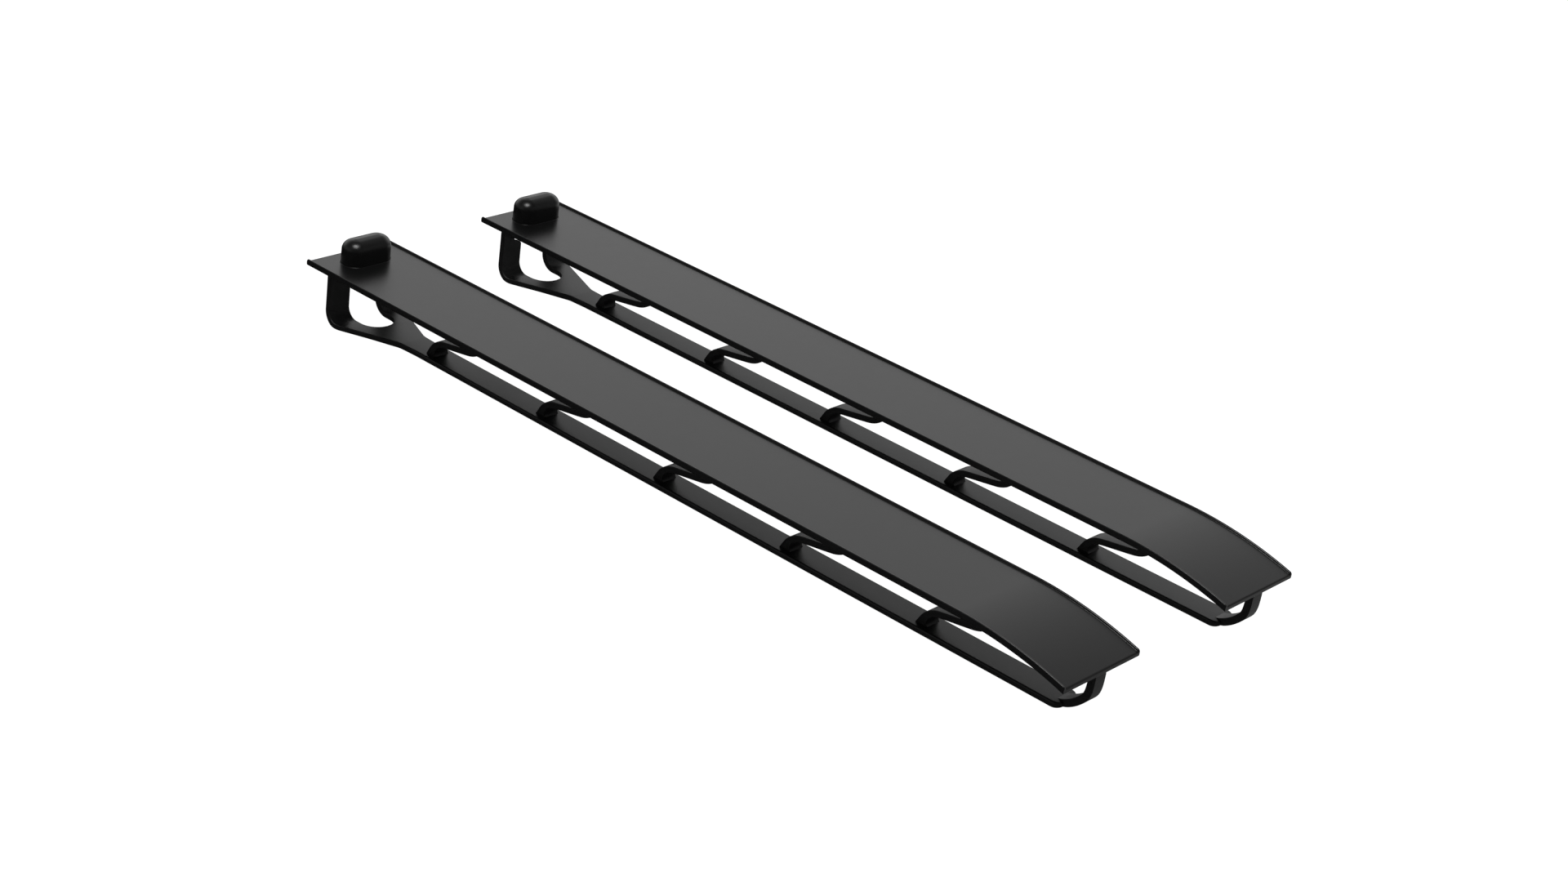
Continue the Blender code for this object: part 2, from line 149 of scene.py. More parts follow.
CURL_HEAD_STEPS = 16

# ---- end yoke ----
YOKE_THICKNESS = 3.5        # its upper face is flush with the band's
YOKE_LEG_CENTRE = 16.6
YOKE_BEND_RADIUS = 9.7      # of the sheet's middle
YOKE_HALF_WIDTH = 28.2
YOKE_OPENING = 11.8         # half-width between the legs
YOKE_OPENING_END = 42.3
YOKE_TAPER_START = 20.0
YOKE_TAPER_EASE = 0.08      # share of the taper that is eased at each end
YOKE_NOTCH = 18.3           # half-width of the opening beside the button
YOKE_NOTCH_DEPTH = 10.0     # below the plate
YOKE_NOTCH_LEAD = 1.5       # how far above that depth the narrowing starts
YOKE_NOTCH_RAMP = 4.0       # height over which the notch narrows to the opening
YOKE_EASE = 0.4             # the same share for the notch and for the thickening
YOKE_ROUND = 0.45
YOKE_TUCK = 2.0             # how far the yoke runs on inside the band
YOKE_TUCK_START = 0.05      # from the band's end
YOKE_FLUSH_ROWS = (-0.1, 0.15)      # rows on both sides of the band's end, from that end
TUCK_SHRINK = 0.97
YOKE_LEG_STEPS = 24
YOKE_BEND_STEPS = 16
YOKE_PLAIN_STEPS = 4
YOKE_ROUND_STEPS = 20
YOKE_FLAT_STEPS = 16

# ---- shading ----
SHARP = 50.0                # degrees; edges sharper than this stay hard
SHARP_CUT = 40.0            # for plate and button
SHARP_BEAD = 60.0           # for the bead round the opening
HANG_MARGIN = 1.0           # distance of the hang's end points from plate and band
PATCH_SCALE = 160.0
PATCH_SPREAD = 0.02         # of the roughness
PORE_SHARE = 0.5
GRAIN_DEPTH = 0.00012       # metres
BLACK = 0.005               # base colour of what shows
INNER_BLACK = 0.02          # and of the cup under the plate
DARK_PATCH = (0.8, 0.8, 0.82)       # shares of the base colour
LIGHT_PATCH = (1.2, 1.2, 1.2)
STEEL_DARK = (0.42, 0.42, 0.44)
STEEL_LIGHT = (0.62, 0.62, 0.64)
STEEL_ROUGHNESS = (0.22, 0.42)

# ---- studio, metres ----
CAMERA_PLACE = (0.9255, -1.1243, 0.7063)
CAMERA_AIM = (0.0154, -0.0017, 0.0196)
CAMERA_ROLL = 8.2           # degrees
CAMERA_LENS = 62.2          # on a 36 mm sensor
FLOOR_SIZE = 14.0
FLOOR_LEVEL = -0.0004
LIGHT_PLACE = (0.12, -0.42, 1.5)
LIGHT_AIM = (-0.1, 0.0, 0.0)
LIGHT_SIZE = 0.8
LIGHT_POWER = 14.0          # watts
SKY_STRENGTH = 1.15
SKY_SEEN = 0.86             # what the camera sees, before the strength
SKY_BY_HEIGHT = (           # (Z of the direction, brightness) above the horizon
    (0.0, 0.45), (0.15, 0.85), (0.38, 0.98), (0.47, 0.78), (0.6, 0.45), (0.7, 0.22), (0.8, 0.07),
    (1.0, 0.07))


# ---- mesh helpers; points in millimetres within a pad ----
def stack(rings, closed_ring=False):
    """A solid lofted through rings of equal length; its ends are capped or, in a ring, joined."""
    builder = bmesh.new()
    loops = [[builder.verts.new(Vector(p) * MM) for p in ring] for ring in rings]
    following = loops[1:] + loops[:1] if closed_ring else loops[1:]
    for lower, upper in zip(loops, following):
        for i in range(len(lower)):
            j = (i + 1) % len(lower)
            builder.faces.new((lower[i], lower[j], upper[j], upper[i]))
    if not closed_ring:
        builder.faces.new(loops[0])
        builder.faces.new(loops[-1])
    bmesh.ops.recalc_face_normals(builder, faces=builder.faces)
    mesh = bpy.data.meshes.new("loft")
    builder.to_mesh(mesh)
    builder.free()
    return mesh


def new_object(name, mesh, origin):
    thing = bpy.data.objects.new(name, mesh)
    bpy.context.scene.collection.objects.link(thing)
    thing.data.transform(Matrix.Translation(Vector(origin)))
    return thing


def new_piece(name, mesh, origin, material):
    piece = new_object(name, mesh, origin)
    piece.data.materials.append(material)
    return piece


def bevel(piece, width, segments, angle):
    modifier = piece.modifiers.new("rounding", "BEVEL")
    modifier.width = width * MM
    modifier.segments = segments
    modifier.limit_method = "ANGLE"
    modifier.angle_limit = math.radians(angle)


def apply_modifiers(piece):
    depsgraph = bpy.context.evaluated_depsgraph_get()
    mesh = bpy.data.meshes.new_from_object(piece.evaluated_get(depsgraph))
    piece.modifiers.clear()
    piece.data = mesh


def settle(piece, sharp):
    """Applies the modifiers and shades the mesh smooth, keeping edges sharper than the given angle
    hard.
    """
    apply_modifiers(piece)
    piece.data.shade_smooth()
    piece.data.set_sharp_from_angle(angle=math.radians(sharp))


def polish(piece):
    """Keeps broad faces flat in the shading, so that only the rounded edges turn."""
    weigh = piece.modifiers.new("weigh", "WEIGHTED_NORMAL")
    weigh.keep_sharp = True
    apply_modifiers(piece)


def cut(piece, tool_mesh, origin):
    """Takes the tool's volume out of the piece."""
    tool = new_object("tool", tool_mesh, origin)
    boolean = piece.modifiers.new("cut", "BOOLEAN")
    boolean.operation = "DIFFERENCE"
    boolean.object = tool
    settle(piece, SHARP_CUT)
    bpy.data.objects.remove(tool, do_unlink=True)


def arc(centre, radius, start, end, steps):
    """Points on an arc, with its angles in degrees."""
    points = []
    for i in range(steps + 1):
        angle = math.radians(start + (end - start) * i / steps)
        points.append((centre[0] + radius * math.cos(angle), centre[1] + radius * math.sin(angle)))
    return points


def stadium(radius, straight, steps):
    """Outline with two round ends, its straight sides along y."""
    points = []
    for sign in (1, -1):
        turn = 0.0 if sign > 0 else 180.0
        points += arc((0.0, sign * straight / 2), radius, turn, turn + 180.0, steps)
    return points


def bezier(start, start_handle, end_handle, end, steps):
    """Points of one cubic curve in a plane."""
    knots = [Vector((p[0], p[1], 0.0)) for p in (start, start_handle, end_handle, end)]
    return [(p.x, p.y) for p in interpolate_bezier(*knots, steps)]


def rounded_rectangle(half_wide, half_thick, radius):
    """Section points (across, thick), counter-clockwise."""
    points = []
    corners = ((1, 1, 0.0), (-1, 1, 90.0), (-1, -1, 180.0), (1, -1, 270.0))
    for sx, sy, turn in corners:
        centre = (sx * (half_wide - radius), sy * (half_thick - radius))
        points += arc(centre, radius, turn, turn + 90.0, EDGE_STEPS)
    return points


def ribbon(path, half_wide, half_thick, radius, first_along=None, last_along=None):
    """A round-edged strip along path, a list of (x, z), with its width along y."""
    rings = []
    last = len(path) - 1
    for i, (x, z) in enumerate(path):
        along = (Vector(path[min(i + 1, last)]) - Vector(path[max(i - 1, 0)])).normalized()
        if i == 0 and first_along:
            along = Vector(first_along)
        if i == last and last_along:
            along = Vector(last_along)
        normal = Vector((-along.y, along.x))
        ring = []
        for wide, thick in rounded_rectangle(half_wide, half_thick[i], radius):
            ring.append((x + normal.x * thick, wide, z + normal.y * thick))
        rings.append(ring)
    return stack(rings)


def nose_drop(x):
    """How far the plate has come down at x, and its slope there in radians."""
    if x <= NOSE_START:
        return 0.0, 0.0
    angle = math.asin((x - NOSE_START) / NOSE_RADIUS)
    return NOSE_RADIUS * (1 - math.cos(angle)), angle


# ---- materials ----
def add_node(tree, kind, **inputs):
    node = tree.nodes.new(kind)
    for name, value in inputs.items():
        node.inputs[name.replace("_", " ")].default_value = value
    return node


def map_range(tree, source, spread, results, smooth=False):
    """Output that runs between two results as the source runs over a spread."""
    node = tree.nodes.new("ShaderNodeMapRange")
    if smooth:
        node.interpolation_type = "SMOOTHSTEP"
    for name, value in zip(("From Min", "From Max", "To Min", "To Max"), spread + results):
        node.inputs[name].default_value = value
    tree.links.new(source, node.inputs["Value"])
    return node.outputs["Result"]


def colour_ramp(tree, source, stops):
    """Output that follows (position, colour) stops."""
    node = tree.nodes.new("ShaderNodeValToRGB")
    elements = node.color_ramp.elements
    for i, (position, colour) in enumerate(stops):
        element = elements[i] if i < 2 else elements.new(position)
        element.position = position
        element.color = (*colour, 1.0)
    tree.links.new(source, node.inputs["Fac"])
    return node.outputs["Color"]


def new_material(name):
    """A material, its tree, its shader and the object's own coordinates in it."""
    material = bpy.data.materials.new(name)
    material.use_nodes = True
    tree = material.node_tree
    place = tree.nodes.new("ShaderNodeTexCoord")
    return material, tree, tree.nodes["Principled BSDF"], place.outputs["Object"]


def moulded(name, colour, roughness, grain, grain_size):
    """Black moulding: fine grain in the bump, slow patches in gloss and colour."""
    material, tree, shader, place = new_material(name)
    patches = add_node(tree, "ShaderNodeTexNoise", Scale=PATCH_SCALE, Detail=5.0, Roughness=0.6)
    tree.links.new(place, patches.inputs["Vector"])
    glosses = (roughness - PATCH_SPREAD, roughness + PATCH_SPREAD)
    gloss = map_range(tree, patches.outputs["Fac"], (0.0, 1.0), glosses)
    tree.links.new(gloss, shader.inputs["Roughness"])
    dark, light = ([colour * share for share in patch] for patch in (DARK_PATCH, LIGHT_PATCH))
    tint = colour_ramp(tree, patches.outputs["Fac"], ((0.0, dark), (1.0, light)))
    tree.links.new(tint, shader.inputs["Base Color"])

    pores = add_node(tree, "ShaderNodeTexVoronoi", Scale=grain_size)
    waves = add_node(tree, "ShaderNodeTexNoise", Scale=grain_size / 2, Detail=3.0)
    for texture in (pores, waves):
        tree.links.new(place, texture.inputs["Vector"])
    relief = tree.nodes.new("ShaderNodeMath")
    relief.operation = "MULTIPLY_ADD"
    relief.inputs[1].default_value = PORE_SHARE
    tree.links.new(pores.outputs["Distance"], relief.inputs[0])
    tree.links.new(waves.outputs["Fac"], relief.inputs[2])
    bump = add_node(tree, "ShaderNodeBump", Strength=grain, Distance=GRAIN_DEPTH)
    tree.links.new(relief.outputs["Value"], bump.inputs["Height"])
    tree.links.new(bump.outputs["Normal"], shader.inputs["Normal"])
    return material


def wire_steel(name):
    """Bright steel with fine patches in colour and gloss."""
    material, tree, shader, place = new_material(name)
    shader.inputs["Metallic"].default_value = 1.0
    patches = add_node(tree, "ShaderNodeTexNoise", Scale=900.0, Detail=3.0)
    tree.links.new(place, patches.inputs["Vector"])
    tint = colour_ramp(tree, patches.outputs["Fac"], ((0.0, STEEL_DARK), (1.0, STEEL_LIGHT)))
    tree.links.new(tint, shader.inputs["Base Color"])
    gloss = map_range(tree, patches.outputs["Fac"], (0.0, 1.0), STEEL_ROUGHNESS)
    tree.links.new(gloss, shader.inputs["Roughness"])
    return material


# ---- pieces of one pad ----
class Pad:
    """Places and sizes of one pad, read from the frame, in millimetres."""

    def __init__(self, name):
        self.name = name
        low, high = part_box(name + "_backing_plate")
        self.length = (high.x - low.x) / MM
        self.half = (high.y - low.y) / 2 / MM
        self.lip_top = high.z / MM
        self.underside = self.lip_top - LIP_HEIGHT
        self.floor = self.underside + FLOOR_THICKNESS
        self.origin = (low.x, (low.y + high.y) / 2, 0.0)
        self.band_low, self.band_high = self.local("contact_band")
        self.button_low, self.button_high = self.local("lock_button")
        self.button_x = (self.button_low.x + self.button_high.x) / 2

    def local(self, piece):
        low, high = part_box(self.name + "_" + piece)
        shift = Vector(self.origin)
        return (low - shift) / MM, (high - shift) / MM

    def world(self, x, y, z):
        return Vector(self.origin) + Vector((x, y, z)) * MM


def end_trim(from_end, radius):
    """How far a surface has turned down at a distance from its rounded end."""
    inside = radius - min(from_end, radius)
    return radius - math.sqrt(radius ** 2 - inside ** 2)


def plate_section(pad, from_end):
    """Channel section (y, z): rounded lips, filleted corners, rounded underside."""
    half = pad.half
    inner = half - LIP_THICKNESS
    top = pad.lip_top - end_trim(from_end, LIP_END_ROUND)
    floor = pad.floor - end_trim(from_end, FLOOR_END_ROUND)
    low = pad.underside + end_trim(from_end, UNDER_ROUND)
    under = (half - UNDER_ROUND, low + UNDER_ROUND)
    outer_edge = (half - LIP_OUTER_ROUND, top - LIP_OUTER_ROUND)
    inner_edge = (inner + LIP_INNER_ROUND, top - LIP_INNER_ROUND)
    corner = (inner - LIP_FILLET, floor + LIP_FILLET)
    right = arc(under, UNDER_ROUND, -90.0, 0.0, EDGE_STEPS)
    right += arc(outer_edge, LIP_OUTER_ROUND, 0.0, 90.0, EDGE_STEPS)
    right += arc(inner_edge, LIP_INNER_ROUND, 90.0, 180.0, LIP_INNER_STEPS)
    right += arc(corner, LIP_FILLET, 0.0, -90.0, LIP_FILLET_STEPS)
    return right + [(-y, z) for y, z in reversed(right)]


def plate_stations(pad):
    """Places of the plate's sections, close together at the rounded ends and in the nose."""
    ends = []
    for i in range(END_STEPS):
        ends.append(LIP_END_ROUND * (1 - math.cos(math.radians(90.0) * i / END_STEPS)))
    stations = ends + [LIP_END_ROUND, NOSE_START / 2]
    last = pad.length - LIP_END_ROUND
    for i in range(NOSE_STEPS + 1):
        stations.append(NOSE_START + (last - NOSE_START) * i / NOSE_STEPS)
    return stations + [pad.length - x for x in reversed(ends)]


def button_outline(pad, radius, z, steps=OUTLINE_STEPS):
    return [(x + pad.button_x, y, z) for x, y in stadium(radius, BUTTON_STRAIGHT, steps)]


def backing_plate(pad, material):
    rings = []
    for x in plate_stations(pad):
        drop = nose_drop(x)[0]
        section = plate_section(pad, min(x, pad.length - x))
        rings.append([(x, y, z - drop) for y, z in section])
    piece = new_piece(pad.name + "_plate_shell", stack(rings), pad.origin, material)
    settle(piece, SHARP_CUT)
    heights = (pad.underside - CUT_MARGIN, pad.lip_top + CUT_MARGIN)
    opening = [button_outline(pad, BUTTON_SLOT, z) for z in heights]
    cut(piece, stack(opening), pad.origin)
    polish(piece)
    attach(piece, "plates")
    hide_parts(pad.name + "_backing_plate")


def opening_rim(pad, material):
    """Low bead that is part of the plate, round the button's opening."""
    loops = [button_outline(pad, BUTTON_SLOT + out, pad.floor + up) for out, up in RIM_PROFILE]
    mesh = stack(loops, closed_ring=True)
    piece = new_piece(pad.name + "_opening_rim", mesh, pad.origin, material)
    settle(piece, SHARP_BEAD)
    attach(piece, "plates")


def button_levels(pad):
    """(radius of the round ends, z) up the button: drafted sides, crown, slight dome."""
    low = pad.button_low.z
    top = pad.button_high.z
    base = BUTTON_SLOT - BUTTON_GAP
    shoulder = top - BUTTON_CROWN - BUTTON_DOME
    levels = []
    for i in range(BUTTON_SIDE_STEPS + 1):
        share = i / BUTTON_SIDE_STEPS
        levels.append((base - BUTTON_DRAFT * share, low + (shoulder - low) * share))
    body = base - BUTTON_DRAFT
    for i in range(1, BUTTON_CROWN_STEPS + 1):
        angle = math.radians(BUTTON_CROWN_ARC) * i / BUTTON_CROWN_STEPS
        inset = BUTTON_CROWN_INSET * (1 - math.cos(angle))
        levels.append((body - inset, shoulder + BUTTON_CROWN * math.sin(angle)))
    edge, height = levels[-1]
    for share in BUTTON_DOME_SHARES:
        levels.append((edge * (1 - share), top - (top - height) * (1 - share) ** 2))
    return levels


def lock_button(pad, material):
    """Loaf: drafted sides, a round crown and a slightly domed top, hollow from below."""
    rings = [button_outline(pad, radius, z) for radius, z in button_levels(pad)]
    piece = new_piece(pad.name + "_button_cap", stack(rings), pad.origin, material)
    inside = BUTTON_SLOT - BUTTON_GAP - BUTTON_WALL
    heights = (pad.button_low.z - CUT_MARGIN, pad.button_high.z - BUTTON_ROOF)
    hollow = [button_outline(pad, inside, z, HOLLOW_STEPS) for z in heights]
    cut(piece, stack(hollow), pad.origin)
    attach(piece, pad.name + "_button")
    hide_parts(pad.name + "_lock_button")


def soft_ramp(share, ease):
    """0 to 1 in a straight line whose two ends are eased over the given share."""
    slope = 1.0 / (1.0 - ease)
    if share <= 0.0:
        return 0.0
    if share < ease:
        return slope * share * share / (2 * ease)
    if share <= 1.0 - ease:
        return slope * (share - ease / 2)
    if share < 1.0:
        return 1.0 - slope * (1.0 - share) ** 2 / (2 * ease)
    return 1.0


def yoke_width(pad, x):
    """Half-width of the yoke's flat, from the legs' width down to the band's."""
    band_half = (pad.band_high.y - pad.band_low.y) / 2
    share = (x - YOKE_TAPER_START) / (pad.band_low.x - YOKE_TAPER_START)
    return YOKE_HALF_WIDTH + (band_half - YOKE_HALF_WIDTH) * soft_ramp(share, YOKE_TAPER_EASE)


def yoke_leg_rows(pad, bend_top):
    rows = []
    for i in range(YOKE_LEG_STEPS + 1):
        z = pad.underside + (bend_top - pad.underside) * i / YOKE_LEG_STEPS
        narrowing = (pad.underside - z - YOKE_NOTCH_DEPTH + YOKE_NOTCH_LEAD) / YOKE_NOTCH_RAMP
        opening = YOKE_NOTCH + (YOKE_OPENING - YOKE_NOTCH) * soft_ramp(narrowing, YOKE_EASE)
        rows.append((YOKE_LEG_CENTRE, z, YOKE_HALF_WIDTH, opening))
    return rows


def yoke_bend_rows(pad, centre_x, centre_z):
    rows = []
    for i in range(1, YOKE_BEND_STEPS + 1):
        angle = math.pi / 2 * i / YOKE_BEND_STEPS
        x = centre_x - YOKE_BEND_RADIUS * math.cos(angle)
        z = centre_z - YOKE_BEND_RADIUS * math.sin(angle)
        rows.append((x, z, yoke_width(pad, x), YOKE_OPENING))
    return rows


def yoke_flat_rows(pad, level, start):
    """The flat: beside the opening, round the opening's end, and on to the band."""
    rows = []
    round_start = YOKE_OPENING_END - YOKE_OPENING
    for i in range(1, YOKE_PLAIN_STEPS):
        x = start + (round_start - start) * i / YOKE_PLAIN_STEPS
        rows.append((x, level, yoke_width(pad, x), YOKE_OPENING))
    for i in range(YOKE_ROUND_STEPS + 1):
        angle = math.pi / 2 * i / YOKE_ROUND_STEPS
        x = round_start + YOKE_OPENING * math.sin(angle)
        opening = YOKE_OPENING * math.cos(angle) if i < YOKE_ROUND_STEPS else 0.0
        rows.append((x, level, yoke_width(pad, x), opening))
    end = pad.band_low.x
    before, after = YOKE_FLUSH_ROWS
    places = [
        YOKE_OPENING_END + (end - YOKE_OPENING_END) * i / YOKE_FLAT_STEPS
        for i in range(1, YOKE_FLAT_STEPS)]
    places += [end + before, end, end + after, end + YOKE_TUCK]
    return rows + [(x, level, yoke_width(pad, x), 0.0) for x in places]


def yoke_rows(pad):
    """Rows of the sheet's middle: x, z, half-width, half-width of the opening."""
    level = pad.band_high.z - YOKE_THICKNESS / 2
    centre_x = YOKE_LEG_CENTRE + YOKE_BEND_RADIUS
    centre_z = level + YOKE_BEND_RADIUS
    rows = yoke_leg_rows(pad, centre_z)
    rows += yoke_bend_rows(pad, centre_x, centre_z)
    return rows + yoke_flat_rows(pad, level, centre_x)


def yoke_sheet(pad):
    """Two strips of faces, one on each side of the opening, that meet beyond its end."""
    builder = bmesh.new()
    rows = []
    for x, z, wide, opening in yoke_rows(pad):
        row = [builder.verts.new(Vector((x, y, z)) * MM) for y in (-wide, -opening)]
        if opening > 0.0:
            row.append(builder.verts.new(Vector((x, opening, z)) * MM))
        else:
            row.append(row[1])
        row.append(builder.verts.new(Vector((x, wide, z)) * MM))
        rows.append(row)
    for above, below in zip(rows, rows[1:]):
        builder.faces.new((above[0], above[1], below[1], below[0]))
        builder.faces.new((above[2], above[3], below[3], below[2]))
    mesh = bpy.data.meshes.new("yoke_sheet")
    builder.to_mesh(mesh)
    builder.free()
    return mesh


def thicken(pad, piece):
    """Brings the yoke's underside down to the band's over the taper."""
    step = pad.band_high.z - YOKE_THICKNESS
    below = YOKE_THICKNESS / 3 * MM
    for vertex in piece.data.vertices:
        x = (vertex.co.x - pad.origin[0]) / MM
        if vertex.co.z < below:
            share = (x - YOKE_OPENING_END) / (pad.band_low.x - YOKE_OPENING_END)
            vertex.co.z -= step * soft_ramp(share, YOKE_EASE) * MM


def tuck(pad, piece):
    """Draws the yoke's end in by a hair, so that it hides inside the band."""
    middle = pad.world(pad.band_low.x + YOKE_TUCK_START, 0.0, pad.band_high.z / 2)
    for vertex in piece.data.vertices:
        if vertex.co.x > middle.x:
            vertex.co.z = middle.z + (vertex.co.z - middle.z) * TUCK_SHRINK
            vertex.co.y = middle.y + (vertex.co.y - middle.y) * TUCK_SHRINK


def end_yoke(pad, material):
    piece = new_piece(pad.name + "_yoke_spring", yoke_sheet(pad), pad.origin, material)
    sheet = piece.modifiers.new("sheet", "SOLIDIFY")
    sheet.thickness = YOKE_THICKNESS * MM
    sheet.offset = 0.0
    sheet.use_even_offset = True
    bevel(piece, YOKE_ROUND, EDGE_STEPS, SHARP)
    settle(piece, SHARP)
    thicken(pad, piece)
    tuck(pad, piece)
    polish(piece)
    hang(pad, piece, pad.underside)
    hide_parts(pad.name + "_end_yoke")


def hang(pad, piece, top_z):
    """Works out the ends of the piece's hang, below the plate and above the band, and bakes its
    placement into its mesh.
    """
    start = pad.world(0.0, 0.0, top_z - HANG_MARGIN)
    end = pad.world(0.0, 0.0, pad.band_high.z + HANG_MARGIN)
    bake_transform(piece)


def contact_band(pad, material):
    """Flat strip with round edges; its nose end narrows in two round corners."""
    half = (pad.band_high.y - pad.band_low.y) / 2
    middle = pad.band_high.z / 2
    corner_start = FOOT_END - FOOT_CORNER
    stations = [(x, half) for x in (pad.band_low.x, pad.band_low.x + BAND_ROUND_RUN, corner_start)]
    for i in range(1, BAND_TIP_STEPS + 1):
        angle = math.radians(BAND_TIP_TURN) * i / BAND_TIP_STEPS
        x = corner_start + FOOT_CORNER * math.sin(angle)
        stations.append((x, half - FOOT_CORNER * (1 - math.cos(angle))))
    rings = []
    for x, wide in stations:
        tip = max(0.0, x - corner_start) / FOOT_CORNER
        thick = middle * (1.0 - BAND_TIP_PINCH * (1 - math.sqrt(1 - tip * tip)))
        radius = YOKE_ROUND if x == pad.band_low.x else BAND_ROUND
        section = rounded_rectangle(wide, thick, min(radius, thick - BAND_LEAST_EDGE))
        rings.append([(x, y, middle + z) for y, z in section])
    piece = new_piece(pad.name + "_ski_band", stack(rings), pad.origin, material)
    settle(piece, SHARP)
    polish(piece)
    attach(piece, pad.name + "_band")
    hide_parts(pad.name + "_contact_band")


def finger_path(root_z, top_z):
    """Middle line of a finger from the band, over the hump and up to the plate."""
    root = (FINGER_ROOT_X, root_z)
    root_handle = (FINGER_ROOT_HANDLE[0], root_z + FINGER_ROOT_HANDLE[1])
    head = (FINGER_HEAD_X, top_z)
    path = bezier(root, root_handle, FINGER_HUMP_HANDLE, FINGER_HUMP_END, FINGER_CURVE_STEPS)
    path += bezier(FINGER_HUMP_END, *FINGER_LINE_HANDLES, FINGER_RISE_START, FINGER_LINE_STEPS)[1:]
    return path + bezier(FINGER_RISE_START, *FINGER_RISE_HANDLES, head, FINGER_CURVE_STEPS)[1:]


def finger_thickness(z, root_z, top_z):
    """Half the thickness at height z, flared softly at both ends and fuller near the band."""
    flare = math.exp((root_z - z) / FINGER_FLARE_FADE) + math.exp((z - top_z) / FINGER_FLARE_FADE)
    swell = FINGER_FOOT_SWELL * max(0.0, 1 - (z - root_z) / FINGER_FOOT_HEIGHT)
    return FINGER_HALF + swell + FINGER_ROOT_FLARE * flare


def flex_finger(pad, number, material):
    low, high = pad.local("flex_finger_%d" % number)
    root_z = pad.band_high.z - OVERLAP
    top_z = pad.underside + OVERLAP
    path = finger_path(root_z, top_z)
    thick = [finger_thickness(z, root_z, top_z) for x, z in path]
    half = (high.y - low.y) / 2
    upward = (0.0, 1.0)
    mesh = ribbon(path, half, thick, FLEX_ROUND, upward, upward)
    mesh.transform(Matrix.Translation((low.x * MM, 0.0, 0.0)))
    piece = new_piece("%s_finger_%d" % (pad.name, number), mesh, pad.origin, material)
    settle(piece, SHARP)
    polish(piece)
    hang(pad, piece, pad.underside)
    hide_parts("%s_flex_finger_%d" % (pad.name, number))


def nose_curl(pad, material):
    """Ribbon from the band's end that curls up and stands square on the plate's underside."""
    top_x = pad.length - CURL_SETBACK - CURL_HALF
    drop, slope = nose_drop(top_x)
    head = (top_x, pad.underside - drop + CURL_TOP_OVERLAP)
    head_handle = (top_x, CURL_HEAD_HANDLE_Z)
    path = bezier(CURL_FOOT, *CURL_FOOT_HANDLES, CURL_MIDDLE, CURL_FOOT_STEPS)
    path += bezier(CURL_MIDDLE, CURL_MIDDLE_HANDLE, head_handle, head, CURL_HEAD_STEPS)[1:]
    square = (math.sin(slope), math.cos(slope))
    thick = []
    for i in range(len(path)):
        thick.append(CURL_HALF - CURL_FOOT_THINNING * max(0.0, 1 - i / CURL_FOOT_ROWS))
    mesh = ribbon(path, CURL_WIDTH / 2, thick, FLEX_ROUND, None, square)
    piece = new_piece(pad.name + "_nose_spring", mesh, pad.origin, material)
    settle(piece, SHARP)
    polish(piece)
    hang(pad, piece, head[1])
    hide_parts(pad.name + "_nose_curl")


def coil_rings(pad, low, high):
    """Rings of the wire along the coil, whose end turns close up."""
    radius = (high.x - low.x) / 2 - SPRING_WIRE
    height = high.z - low.z - 2 * SPRING_WIRE
    points = SPRING_POINTS_PER_TURN * SPRING_TURNS
    upward = Vector((0.0, 0.0, 1.0))
    rings = []
    for i in range(points + 1):
        turn = i / points
        rise = turn - SPRING_CLOSING * math.sin(2 * math.pi * turn)
        angle = 2 * math.pi * SPRING_TURNS * turn
        outward = Vector((math.cos(angle), math.sin(angle), 0.0))
        centre = Vector((pad.button_x, 0.0, low.z + SPRING_WIRE + height * rise)) + outward * radius
        ring = []
        for k in range(SPRING_WIRE_SIDES):
            around = 2 * math.pi * k / SPRING_WIRE_SIDES
            offset = outward * math.cos(around) + upward * math.sin(around)
            ring.append(tuple(centre + offset * SPRING_WIRE))
        rings.append(ring)
    return rings


def button_spring(pad, material):
    """Round wire coil, which rides with the plates."""
    low, high = pad.local("button_spring")
    mesh = stack(coil_rings(pad, low, high))
    piece = new_piece(pad.name + "_return_coil", mesh, pad.origin, material)
    settle(piece, SHARP)
    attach(piece, "plates")
    foot = pad.world(pad.button_x, 0.0, low.z)
    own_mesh(piece)
    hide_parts(pad.name + "_button_spring")


# ---- studio ----
def backdrop():
    """Floor that looks plain white, and that the shiny pieces don't mirror."""
    bpy.ops.mesh.primitive_plane_add(size=FLOOR_SIZE, location=(0.0, 0.0, FLOOR_LEVEL))
    floor = bpy.context.object
    floor.name = "studio_floor"
    material = bpy.data.materials.new("studio_white")
    material.use_nodes = True
    shader = material.node_tree.nodes["Principled BSDF"]
    shader.inputs["Base Color"].default_value = (0.15, 0.15, 0.15, 1.0)
    shader.inputs["Roughness"].default_value = 0.9
    shader.inputs["Emission Color"].default_value = (1.0, 1.0, 1.0, 1.0)
    shader.inputs["Emission Strength"].default_value = 1.0
    floor.data.materials.append(material)
    floor.visible_glossy = False


def mix_colours(tree, factor, first, second=None):
    node = tree.nodes.new("ShaderNodeMix")
    node.data_type = "RGBA"
    tree.links.new(factor, node.inputs["Factor"])
    tree.links.new(first, node.inputs["A"])
    if second:
        tree.links.new(second, node.inputs["B"])
    return node


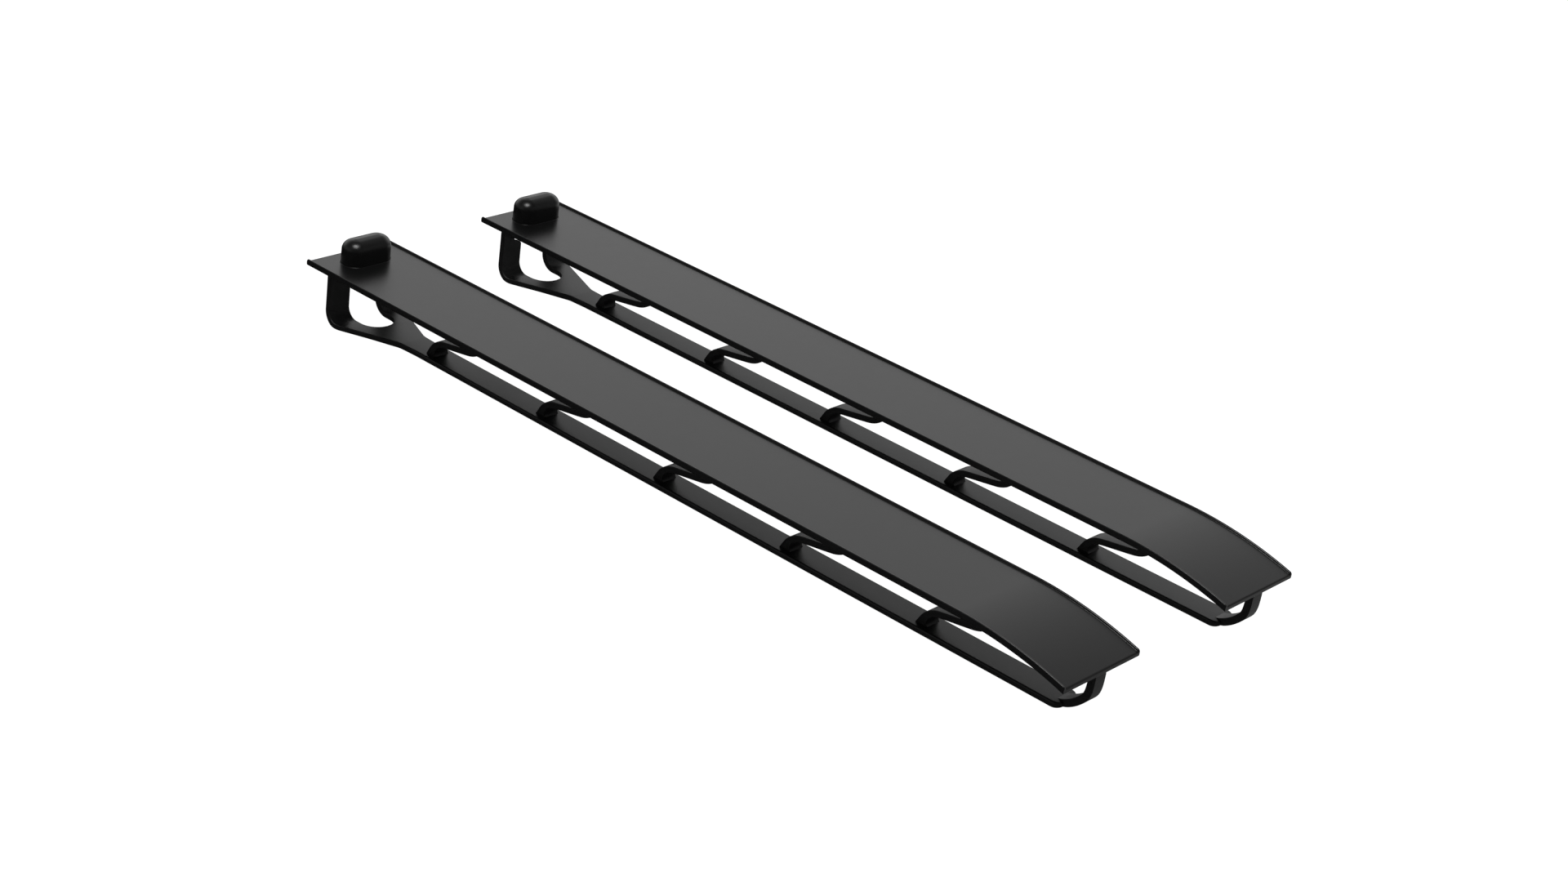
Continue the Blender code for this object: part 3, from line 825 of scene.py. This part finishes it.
def sky_above(tree, split):
    """Brightness by height, dimmed in front of the pads (-Y) and beyond their nose (+X)."""
    stops = [(height, (value, value, value)) for height, value in SKY_BY_HEIGHT]
    by_height = colour_ramp(tree, split.outputs["Z"], stops)
    front = map_range(tree, split.outputs["Y"], (-0.5, 0.1), (0.25, 1.0), smooth=True)
    nose_side = map_range(tree, split.outputs["X"], (0.0, 0.45), (1.0, 0.15), smooth=True)
    both = tree.nodes.new("ShaderNodeMath")
    both.operation = "MULTIPLY"
    tree.links.new(front, both.inputs[0])
    tree.links.new(nose_side, both.inputs[1])
    dimmed = tree.nodes.new("ShaderNodeVectorMath")
    dimmed.operation = "SCALE"
    tree.links.new(by_height, dimmed.inputs["Vector"])
    tree.links.new(both.outputs["Value"], dimmed.inputs["Scale"])
    return dimmed.outputs["Vector"]


def sky():
    """Plain white to the camera; to the pieces, a bright band behind and a darker front."""
    world = bpy.data.worlds.new("studio_sky")
    bpy.context.scene.world = world
    world.use_nodes = True
    tree = world.node_tree
    place = tree.nodes.new("ShaderNodeTexCoord")
    split = tree.nodes.new("ShaderNodeSeparateXYZ")
    tree.links.new(place.outputs["Generated"], split.inputs["Vector"])
    below = map_range(tree, split.outputs["Y"], (0.62, 0.9), (0.0, 0.5), smooth=True)
    horizon = map_range(tree, split.outputs["Z"], (-0.05, 0.12), (0.0, 1.0))
    around = mix_colours(tree, horizon, below, sky_above(tree, split))
    path = tree.nodes.new("ShaderNodeLightPath")
    seen = mix_colours(tree, path.outputs["Is Camera Ray"], around.outputs["Result"])
    seen.inputs["B"].default_value = (SKY_SEEN, SKY_SEEN, SKY_SEEN, 1.0)
    background = tree.nodes["Background"]
    tree.links.new(seen.outputs["Result"], background.inputs["Color"])
    background.inputs["Strength"].default_value = SKY_STRENGTH


def overhead_light():
    data = bpy.data.lights.new("overhead", "AREA")
    data.shape = "DISK"
    data.size = LIGHT_SIZE
    data.energy = LIGHT_POWER
    light = bpy.data.objects.new("overhead", data)
    bpy.context.scene.collection.objects.link(light)
    light.location = LIGHT_PLACE
    towards = Vector(LIGHT_AIM) - Vector(LIGHT_PLACE)
    light.rotation_euler = towards.to_track_quat("-Z", "Y").to_euler()


def camera():
    data = bpy.data.cameras.new("photo_camera")
    data.lens = CAMERA_LENS
    data.sensor_width = 36.0
    data.clip_end = 50.0
    eye = bpy.data.objects.new("photo_camera", data)
    bpy.context.scene.collection.objects.link(eye)
    eye.location = CAMERA_PLACE
    turn = (Vector(CAMERA_AIM) - Vector(CAMERA_PLACE)).to_track_quat("-Z", "Y").to_matrix()
    roll = Matrix.Rotation(math.radians(CAMERA_ROLL), 3, "Z")
    eye.rotation_euler = (turn @ roll).to_euler()
    bpy.context.scene.camera = eye


# ---- build ----
plate_black = moulded("plate_black", BLACK, roughness=0.31, grain=0.07, grain_size=2600.0)
button_black = moulded("button_black", BLACK, roughness=0.31, grain=0.08, grain_size=3200.0)
band_black = moulded("band_black", BLACK, roughness=0.42, grain=0.08, grain_size=2200.0)
flex_black = moulded("flex_black", BLACK, roughness=0.40, grain=0.08, grain_size=2200.0)
inner_black = moulded("inner_black", INNER_BLACK, roughness=0.55, grain=0.4, grain_size=1500.0)
steel = wire_steel("steel")

for pad_name in PADS:
    pad = Pad(pad_name)
    backing_plate(pad, plate_black)
    opening_rim(pad, plate_black)
    lock_button(pad, button_black)
    end_yoke(pad, flex_black)
    contact_band(pad, band_black)
    for finger in range(1, FINGERS + 1):
        flex_finger(pad, finger, flex_black)
    nose_curl(pad, flex_black)
    button_spring(pad, steel)
    for hidden, finish in (("button_cup", inner_black), ("cup_screw_1", steel), ("cup_screw_2", steel)):
        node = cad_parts[pad_name + "_" + hidden]
        node.data.materials.clear()
        node.data.materials.append(finish)

backdrop()
sky()
overhead_light()
camera()
bpy.context.scene.view_settings.view_transform = "Standard"
